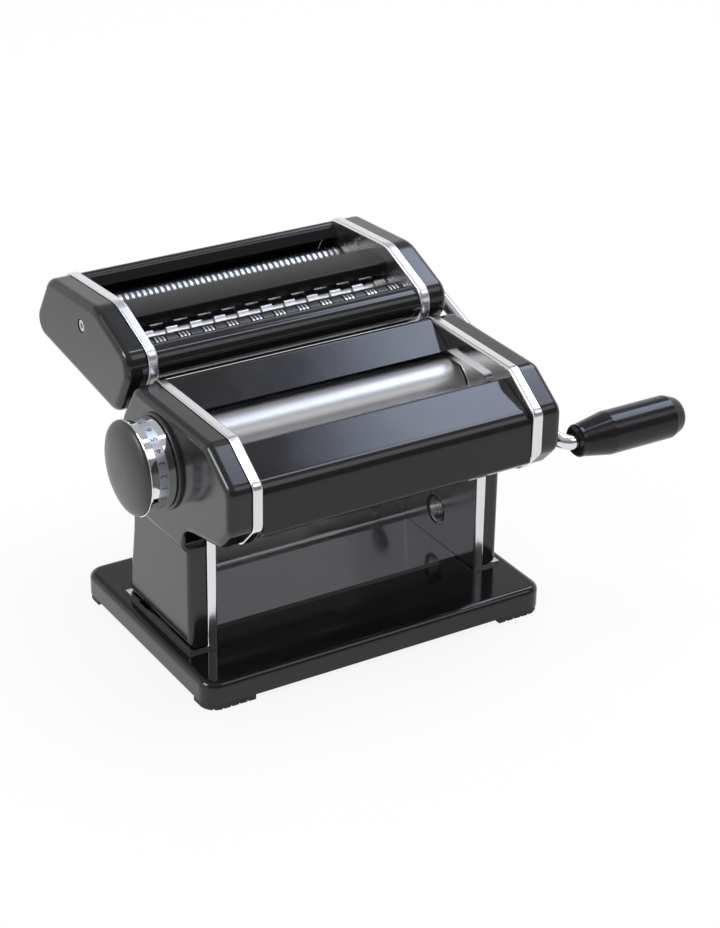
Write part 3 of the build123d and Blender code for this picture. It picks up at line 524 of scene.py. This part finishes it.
narrow_rings = 44
narrow_pitch = 0.0034
narrow_inset = 0.0011  # from the roller's end to the first ring's middle
narrow_ring_radius = 0.0086
narrow_ring_width = 0.0016
ring_jobs = [
    ("narrow_rings_rear", "narrow_rear", "narrow_cutter_rear", 0.0),
    ("narrow_rings_front", "narrow_front", "narrow_cutter_front", narrow_pitch / 2),
]
for name, body, bar, shift in ring_jobs:
    axis_y, axis_z = axis_of(bar)
    mesh = grow(
        name, ring_tree, Groups=narrow_rings, Group_Pitch=narrow_pitch, Rings=1, Ring_Pitch=0.0,
        Start=(-roller_end + narrow_inset + shift, axis_y, axis_z),
        Radius=narrow_ring_radius, Width=narrow_ring_width, Finish=roller_metal,
    )
    add_piece(name, mesh, body, roller_metal)

wide_discs = 11
wide_strip = 0.0068  # one disc, and the gap to the next is as wide
wide_inset = 0.0001
ribs_on_disc = 3
rib_pitch = 0.0021
rib_radius = 0.00912
rib_width = 0.0012
first_rib = -roller_end + wide_inset + wide_strip + (wide_strip / 2 - rib_pitch)
axis_y, axis_z = axis_of("wide_cutter_front")
mesh = grow(
    "wide_ribs_front", ring_tree, Groups=wide_discs, Group_Pitch=2 * wide_strip,
    Rings=ribs_on_disc, Ring_Pitch=rib_pitch, Start=(first_rib, axis_y, axis_z),
    Radius=rib_radius, Width=rib_width, Finish=roller_metal,
)
add_piece("wide_ribs_front", mesh, "wide_front", roller_metal)

# Painted shade: a dark metal for the groove bottoms and the tie rods, which lie in shadow.
painted_shade_metal = new_finish("groove_bottoms", (0.10, 0.10, 0.10), 0.45, 1.0)
tint(painted_shade_metal, grain(painted_shade_metal, 0.003), (0.07, 0.07, 0.07), (0.14, 0.14, 0.14))
relief(painted_shade_metal, grain(painted_shade_metal, 0.0004, (1.0, 400.0, 400.0)), 0.000004)
coat_node(
    ["narrow_cutter_front", "narrow_cutter_rear", "wide_cutter_front", "tie_rods"], painted_shade_metal
)

# %% [markdown]
# ## The thickness knob
#
# The knob's cap is a shallow black dome that nearly fills the front, held by a thin chrome ring.
# Both are turned shapes. The dome's edge is drawn round, so that it catches a soft crescent of
# light on one side and falls off to black on the other.

# %% Knob
knob_y, knob_z = axis_of("knob_bezel")
ring_setback = 0.0022  # the drawn ring ends this far behind the CAD one
ring_depth = 0.0008
ring_wall = 0.0016
ring_chamfer = 0.0002
edge_gap = 0.0004  # from the ring's outside in to the dome's edge
dome_lap = 0.0003  # how far the dome reaches into the ring
ring_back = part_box("knob_bezel")[1][0] + ring_setback
ring_front = ring_back - ring_depth
ring_radius = (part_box("knob_bezel")[1][2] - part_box("knob_bezel")[0][2]) / 2

cap_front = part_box("knob_cap")[0][0]
cap_radius = ring_radius - edge_gap
dome_back = ring_front + dome_lap
roundness = 2 / 2.2
dome_steps = 30
dome = [(dome_back, 0.0), (dome_back, cap_radius - edge_gap)]
for k in range(dome_steps + 1):
    slope = math.radians(90.0 * k / dome_steps)
    x = ring_front + (cap_front - ring_front) * math.sin(slope) ** roundness
    radius = cap_radius * math.cos(slope) ** roundness if k < dome_steps else 0.0
    dome.append((x, radius))
add_piece(
    "knob_dome", turned("knob_dome", dome, knob_y, knob_z), "thickness_knob", knob_black,
    "knob_cap", smooth_deg=60.0,
)

ring_inner = ring_radius - ring_wall
ring_outline = [
    (ring_back + ring_chamfer, ring_inner),
    (ring_back + ring_chamfer, ring_radius - ring_chamfer),
    (ring_back, ring_radius),
    (ring_front + ring_chamfer, ring_radius),
    (ring_front, ring_radius - ring_chamfer),
    (ring_front, ring_inner),
]
add_piece(
    "knob_ring", turned("knob_ring", ring_outline, knob_y, knob_z), "thickness_knob", chrome,
    "knob_bezel",
)

# %% [markdown]
# ## The thickness numbers
#
# Ten plain figures are printed round the band, nearly 16 degrees apart, heads towards the cap.
# The tree makes one figure: the text is filled, given a hair of thickness, laid on the band and
# turned round the knob's axis by its angle. It's grown ten times and joined into one piece.

# %% Numbers
figure_tree, given = start_tree(
    "figure",
    [
        ("Text", "NodeSocketString"),
        ("Height", "NodeSocketFloat"),
        ("Thickness", "NodeSocketFloat"),
        ("Band Radius", "NodeSocketFloat"),
        ("Angle", "NodeSocketFloat"),
        ("Centre", "NodeSocketVector"),
        ("Finish", "NodeSocketMaterial"),
    ],
)
lettering = step(
    figure_tree, "GeometryNodeStringToCurves",
    settings={"align_x": "CENTER", "align_y": "MIDDLE"},
    String=given["Text"], Size=given["Height"],
)
filled = step(
    figure_tree, "GeometryNodeFillCurve",
    Curve=step(figure_tree, "GeometryNodeRealizeInstances", Geometry=lettering),
)
thick = step(
    figure_tree, "GeometryNodeExtrudeMesh", Mesh=filled, Offset_Scale=given["Thickness"],
)
solid = step(figure_tree, "GeometryNodeJoinGeometry", Geometry=thick)
# The extrusion is open at the back, so the filled text closes it, turned to face inwards.
back = step(figure_tree, "GeometryNodeFlipFaces", Mesh=filled)
figure_tree.links.new(back, solid.node.inputs["Geometry"])
# Heads towards the cap, then out to the band's radius, then round the axis.
upright = step(
    figure_tree, "GeometryNodeTransform", Geometry=solid, Rotation=(0.0, 0.0, math.pi / 2),
)
out = step(figure_tree, "ShaderNodeCombineXYZ", Z=given["Band Radius"])
lifted = step(figure_tree, "GeometryNodeTransform", Geometry=upright, Translation=out)
spin = step(figure_tree, "ShaderNodeCombineXYZ", X=given["Angle"])
placed = step(
    figure_tree, "GeometryNodeTransform",
    Geometry=lifted, Translation=given["Centre"], Rotation=spin,
)
end_tree(figure_tree, placed, given["Finish"])

ink = new_finish("printed_ink", (0.02, 0.02, 0.022), 0.5)
tint(ink, grain(ink, 0.0005), (0.015, 0.015, 0.016), (0.035, 0.035, 0.038))

band_low, band_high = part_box("number_ring")
band_middle = (band_low[0] + band_high[0]) / 2
band_radius = (band_high[2] - band_low[2]) / 2
figure_count = 10
figure_step_deg = 15.7
first_figure_deg = -22.3
figure_height = 0.0046
ink_thickness = 0.00003
ink_sink = 0.00001  # keeps the figures' backs inside the band
all_figures = bmesh.new()
for number_shown in range(figure_count):
    # An angle of 0 lies straight ahead at -Y; the tree counts from straight up.
    angle = math.radians(90.0 - (first_figure_deg + figure_step_deg * number_shown))
    one = grow(
        "figure", figure_tree, Text=str(number_shown), Height=figure_height,
        Thickness=ink_thickness, Band_Radius=band_radius - ink_sink, Angle=angle,
        Centre=(band_middle, knob_y, knob_z), Finish=ink,
    )
    all_figures.from_mesh(one)
figures = bpy.data.meshes.new("knob_figures")
all_figures.to_mesh(figures)
all_figures.free()
add_piece("knob_figures", figures, "thickness_knob", ink, smooth_deg=10.0)

# %% [markdown]
# ## The knob's spring
#
# Pulling the knob out squeezes the coil spring between the knob's web and the washer on the shaft.
# The wire follows a spiral, so a tree grows it: a spiral curve with a round section drawn along it.
# At the full pull of 4 mm it keeps 0.487 of its 7.8 mm.

# %% Spring
spring_tree, given = start_tree(
    "coil_spring",
    [
        ("Turns", "NodeSocketFloat"),
        ("Coil Radius", "NodeSocketFloat"),
        ("Length", "NodeSocketFloat"),
        ("Wire Radius", "NodeSocketFloat"),
        ("Start", "NodeSocketVector"),
        ("Finish", "NodeSocketMaterial"),
    ],
)
spiral = step(
    spring_tree, "GeometryNodeCurveSpiral",
    Resolution=48, Rotations=given["Turns"], Height=given["Length"],
    Start_Radius=given["Coil Radius"], End_Radius=given["Coil Radius"],
)
section = step(
    spring_tree, "GeometryNodeCurvePrimitiveCircle", Resolution=12, Radius=given["Wire Radius"],
)
wire = step(
    spring_tree, "GeometryNodeCurveToMesh",
    Curve=spiral, Profile_Curve=section, Fill_Caps=True,
)
laid = step(
    spring_tree, "GeometryNodeTransform",
    Geometry=wire, Translation=given["Start"], Rotation=(0.0, math.pi / 2, 0.0),
)
end_tree(spring_tree, laid, given["Finish"])

spring_low, spring_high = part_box("knob_spring")
wire_radius = 0.0006
coil_radius = 0.0080
coil_turns = 2.1
spring_mesh = grow(
    "coil_spring", spring_tree, Turns=coil_turns, Coil_Radius=coil_radius,
    Length=spring_high[0] - spring_low[0] - 2 * wire_radius, Wire_Radius=wire_radius,
    Start=(spring_low[0] + wire_radius, knob_y, knob_z), Finish=satin_steel,
)
spring = add_piece("coil_spring", spring_mesh, "adjuster", satin_steel, "knob_spring")
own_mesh(spring)

# %% [markdown]
# ## The clamp socket's thread
#
# The tube that takes the table clamp has a coarse thread cut inside. Each turn of it reads as a
# bright ring, so it's drawn as rings: one turned outline whose inner edge goes in and out.

# %% Clamp thread
socket_y, socket_z = axis_of("clamp_socket")
socket_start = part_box("clamp_socket")[0][0]
bore_radius = 0.0070
crest_height = 0.0007
root_height = 0.0001  # the thread's roots stand this far inside the bore
thread_pitch = 0.0014
thread_turns = 7
thread_start = socket_start + 0.0003
thread_end = socket_start + 0.0097
thread = [(thread_end, bore_radius), (thread_start, bore_radius)]
for half_turn in range(2 * thread_turns - 1):
    along = thread_start + thread_pitch * (half_turn / 2 + 0.25)
    height = root_height if half_turn % 2 else crest_height
    thread.append((along, bore_radius - height))
thread_mesh = turned("clamp_thread", thread, socket_y, socket_z, segments=64)
add_piece("clamp_thread", thread_mesh, "machine", satin_steel)

# %% [markdown]
# ## The head's bridge
#
# The black panel between the two cutters is a folded sheet. It leaves the narrow roller's rings in
# view behind it and the wide roller's discs in front. Its front edge is turned down as a lip, and
# its back edge is turned down a little too. The path gives the sheet's section as (y, z) points.

# %% Bridge
bridge_low, bridge_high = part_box("cutter_bridge")
bridge_path = [(0.0545, 0.1499), (0.0547, 0.1559), (0.0738, 0.1568), (0.0756, 0.1552)]
bend_radius = 0.0010
sheet_thickness = 0.0010
bridge_black = new_finish("bridge_satin_black", (0.008, 0.008, 0.008), 0.22, IOR=1.33)
relief(bridge_black, grain(bridge_black, 0.0022, detail=1.0), 0.000006)
spread(bridge_black, grain(bridge_black, 0.02), 0.20, 0.25)
bridge_mesh = folded(
    "bridge_sheet", bridge_path, bend_radius, sheet_thickness, bridge_low[0], bridge_high[0],
)
add_piece("bridge_sheet", bridge_mesh, "cutter_frame", bridge_black, "cutter_bridge")

# %% [markdown]
# ## The studio
#
# A pale floor, a pale room, and soft boxes. To the camera all of it is white, so the background is
# clean. Mirrors see a bright floor, a wall behind the machine that is white low down, and a darker
# room in front and overhead, so that metal has something to show and the enamel's slopes turn
# black where no soft box stands in their reflection. To the light that falls on the machine, the
# floor and the room are only pale grey.
#
# The floor and the room are shader trees. Each helper below adds a node or two to a tree and
# returns what comes out.

# %% Studio helpers
def number(tree, operation, first, second):
    """A math node between two values, each a socket or a plain number."""
    node = tree.nodes.new("ShaderNodeMath")
    node.operation = operation
    for socket, value in zip(node.inputs, (first, second)):
        if isinstance(value, float):
            socket.default_value = value
        else:
            tree.links.new(value, socket)
    return node.outputs["Value"]


def soft_step(tree, value, start, end, level=1.0):
    """Rises smoothly from 0 at start to the level at end; start may lie above end."""
    node = tree.nodes.new("ShaderNodeMapRange")
    node.interpolation_type = "SMOOTHSTEP"
    node.inputs["From Min"].default_value = start
    node.inputs["From Max"].default_value = end
    node.inputs["To Max"].default_value = level
    tree.links.new(value, node.inputs["Value"])
    return node.outputs["Result"]


def window(tree, value, low, high, soft):
    """1 between low and high, with soft edges outside them."""
    inside = soft_step(tree, value, low - soft, low)
    return number(tree, "MULTIPLY", inside, soft_step(tree, value, high + soft, high))


def grey_ramp(tree, value, stops):
    """A faintly blue grey through (position, brightness) stops."""
    node = tree.nodes.new("ShaderNodeValToRGB")
    elements = node.color_ramp.elements
    for element, (position, _) in zip(elements, (stops[0], stops[-1])):
        element.position = position
    for position, _ in stops[1:-1]:
        elements.new(position)
    for element, (_, level) in zip(elements, stops):
        element.color = (level, level, level * 1.015, 1.0)
    tree.links.new(value, node.inputs["Fac"])
    return node.outputs["Color"]


def mix_shaders(tree, share, first, second):
    """The first shader where share is 0, the second where it's 1."""
    node = tree.nodes.new("ShaderNodeMixShader")
    tree.links.new(share, node.inputs["Fac"])
    tree.links.new(first, node.inputs[1])
    tree.links.new(second, node.inputs[2])
    return node.outputs["Shader"]


def background(tree, color, strength=1.0):
    """An even glow of the room; colour and strength are each a socket or plain values."""
    node = tree.nodes.new("ShaderNodeBackground")
    feed(tree, node.inputs["Color"], color)
    feed(tree, node.inputs["Strength"], strength)
    return node.outputs["Background"]


def bright_box(tree, masks, color, strength):
    """A glow of the given colour where all the masks overlap."""
    mask = masks[0]
    for other in masks[1:]:
        mask = number(tree, "MULTIPLY", mask, other)
    return background(tree, (*color, 1.0), number(tree, "MULTIPLY", mask, strength))


# %% [markdown]
# ## The floor
#
# To the light that falls on it the floor is matte pale paint, which takes the machine's shadow. To
# the camera and to mirrors most of it is a glow instead, so it stays white, and what's left of the
# paint keeps the shadow faintly visible. In mirrors the glow is weaker, except for a round spot
# beside the machine on the knob's side.

# %% Floor
floor_reach = 9.0
glow_share = 0.88
mirror_glow = 0.86
spot_glow = 0.34
spot_place = (-0.17, 0.12, 0.0)
spot_inner, spot_outer = 0.06, 0.36

floor_mesh = bpy.data.meshes.new("floor")
floor_corners = [(-1, -1), (1, -1), (1, 1), (-1, 1)]
floor_mesh.from_pydata(
    [(floor_reach * x, floor_reach * y, 0.0) for x, y in floor_corners], [], [(0, 1, 2, 3)]
)
floor = bpy.data.objects.new("floor", floor_mesh)
bpy.context.scene.collection.objects.link(floor)

pale_floor = bpy.data.materials.new("pale_floor")
pale_floor.use_nodes = True
floor_tree = pale_floor.node_tree
paint = floor_tree.nodes["Principled BSDF"]
paint.inputs["Base Color"].default_value = (0.86, 0.86, 0.86, 1.0)
paint.inputs["Roughness"].default_value = 0.9
floor_rays = floor_tree.nodes.new("ShaderNodeLightPath")
floor_place = floor_tree.nodes.new("ShaderNodeTexCoord")

from_spot = floor_tree.nodes.new("ShaderNodeVectorMath")
from_spot.operation = "DISTANCE"
from_spot.inputs[1].default_value = spot_place
floor_tree.links.new(floor_place.outputs["Object"], from_spot.inputs[0])
spot = soft_step(floor_tree, from_spot.outputs["Value"], spot_outer, spot_inner, spot_glow)
in_mirrors = number(floor_tree, "ADD", spot, mirror_glow)

glow_level = floor_tree.nodes.new("ShaderNodeMix")
glow_level.inputs["B"].default_value = 1.0
floor_tree.links.new(floor_rays.outputs["Is Camera Ray"], glow_level.inputs["Factor"])
floor_tree.links.new(in_mirrors, glow_level.inputs["A"])
glow = floor_tree.nodes.new("ShaderNodeEmission")
floor_tree.links.new(glow_level.outputs["Result"], glow.inputs["Strength"])

seen = number(
    floor_tree, "ADD", floor_rays.outputs["Is Camera Ray"], floor_rays.outputs["Is Glossy Ray"]
)
seen.node.use_clamp = True
floor_look = mix_shaders(
    floor_tree, number(floor_tree, "MULTIPLY", seen, glow_share),
    paint.outputs["BSDF"], glow.outputs["Emission"],
)
floor_tree.links.new(floor_look, floor_tree.nodes["Material Output"].inputs["Surface"])
floor_mesh.materials.append(pale_floor)

# %% [markdown]
# ## The room
#
# The camera sees plain white, and the light that falls on the machine comes evenly from pale grey
# walls. Only mirrors see more: a ramp of greys over the height for the half of the room behind the
# machine (+Y), another for the half in front, and bright boxes laid over both. A box is a product
# of soft masks on the X, Y and Z of the direction that a mirror looks in, where Z is 1 overhead.

# %% Room
room = bpy.data.worlds.new("studio_room")
bpy.context.scene.world = room
room.use_nodes = True
room_tree = room.node_tree
for node in list(room_tree.nodes):
    room_tree.nodes.remove(node)
coords = room_tree.nodes.new("ShaderNodeTexCoord")
direction = room_tree.nodes.new("ShaderNodeSeparateXYZ")
room_tree.links.new(coords.outputs["Generated"], direction.inputs["Vector"])
way_x, way_y, way_z = (direction.outputs[axis] for axis in "XYZ")

behind = grey_ramp(
    room_tree, way_z, [(0.0, 1.0), (0.43, 1.0), (0.49, 0.50), (0.70, 0.47), (0.9, 0.50)]
)
in_front = grey_ramp(room_tree, way_z, [(0.0, 0.55), (0.12, 0.20), (0.55, 0.22), (0.80, 0.48)])
walls = room_tree.nodes.new("ShaderNodeMix")
walls.data_type = "RGBA"
room_tree.links.new(soft_step(room_tree, way_y, -0.10, -0.50), walls.inputs["Factor"])
room_tree.links.new(behind, walls.inputs[6])
room_tree.links.new(in_front, walls.inputs[7])

# The big soft box stands on the crank's side; its near edge leans with the height.
lean = number(room_tree, "MULTIPLY_ADD", way_z, -0.5)
room_tree.links.new(way_x, lean.node.inputs[2])
cool_white = (0.86, 0.96, 1.25)
boxes = [
    bright_box(
        room_tree,
        [soft_step(room_tree, lean, 0.005, 0.075),
         soft_step(room_tree, way_x, 0.80, 0.66),
         window(room_tree, way_y, 0.04, 0.30, 0.11),
         soft_step(room_tree, way_z, 0.45, 0.60)],
        cool_white, strength=5.2,
    ),
    # A narrow strip lamp above, which draws the light line along round pieces.
    bright_box(
        room_tree,
        [window(room_tree, way_x, 0.30, 0.62, 0.10),
         window(room_tree, way_y, -0.10, -0.04, 0.05),
         soft_step(room_tree, way_z, 0.60, 0.75)],
        cool_white, strength=5.5,
    ),
    # A lower box in front, which lights the discs of the wide cutters.
    bright_box(
        room_tree,
        [window(room_tree, way_x, 0.30, 0.62, 0.10),
         window(room_tree, way_y, -0.68, -0.47, 0.07),
         soft_step(room_tree, way_z, 0.45, 0.58)],
        (1.0, 1.0, 1.05), strength=1.6,
    ),
    # A box high on the left, which draws the rounded edges of the covers.
    bright_box(
        room_tree,
        [window(room_tree, way_x, -0.90, -0.62, 0.10),
         window(room_tree, way_y, -0.02, 0.30, 0.12),
         window(room_tree, way_z, 0.50, 0.68, 0.08)],
        (1.0, 1.0, 1.03), strength=10.0,
    ),
]

mirror_room = background(room_tree, walls.outputs[2])
for box in boxes:
    both = room_tree.nodes.new("ShaderNodeAddShader")
    room_tree.links.new(mirror_room, both.inputs[0])
    room_tree.links.new(box, both.inputs[1])
    mirror_room = both.outputs["Shader"]
soft_room = background(room_tree, (0.62, 0.62, 0.63, 1.0))
white_room = background(room_tree, (1.0, 1.0, 1.0, 1.0))
room_rays = room_tree.nodes.new("ShaderNodeLightPath")
for_mirrors = number(
    room_tree, "ADD",
    room_rays.outputs["Is Glossy Ray"], room_rays.outputs["Is Transmission Ray"],
)
for_mirrors.node.use_clamp = True
unseen_room = mix_shaders(room_tree, for_mirrors, soft_room, mirror_room)
whole_room = mix_shaders(
    room_tree, room_rays.outputs["Is Camera Ray"], unseen_room, white_room
)
world_out = room_tree.nodes.new("ShaderNodeOutputWorld")
room_tree.links.new(whole_room, world_out.inputs["Surface"])

# %% [markdown]
# ## The soft boxes
#
# Two rectangular lamps shape the light on dull surfaces and cast the soft shadow. Mirrors don't see
# them, since the room has its own bright boxes for that.

# %% Soft boxes
def soft_box(name, place, aim, width, height, watts, color=(1.0, 1.0, 1.0)):
    """A rectangular lamp at place that faces aim."""
    lamp = bpy.data.lights.new(name, "AREA")
    lamp.shape = "RECTANGLE"
    lamp.size = width
    lamp.size_y = height
    lamp.energy = watts
    lamp.color = color
    lamp_object = bpy.data.objects.new(name, lamp)
    bpy.context.scene.collection.objects.link(lamp_object)
    facing = (Vector(aim) - Vector(place)).to_track_quat("-Z", "Y")
    lamp_object.matrix_world = Matrix.Translation(place) @ facing.to_matrix().to_4x4()
    lamp_object.visible_glossy = False


soft_box(
    "overhead_box", (0.6, 0.3, 1.9), (0.0, 0.0, 0.1),
    width=1.5, height=1.4, watts=26.0, color=(0.95, 0.97, 1.0),
)
soft_box("left_box", (-2.0, -0.6, 1.3), (0.0, 0.0, 0.08), width=1.2, height=1.4, watts=12.0)
bpy.context.scene.view_settings.view_transform = "Standard"
print("studio ready")
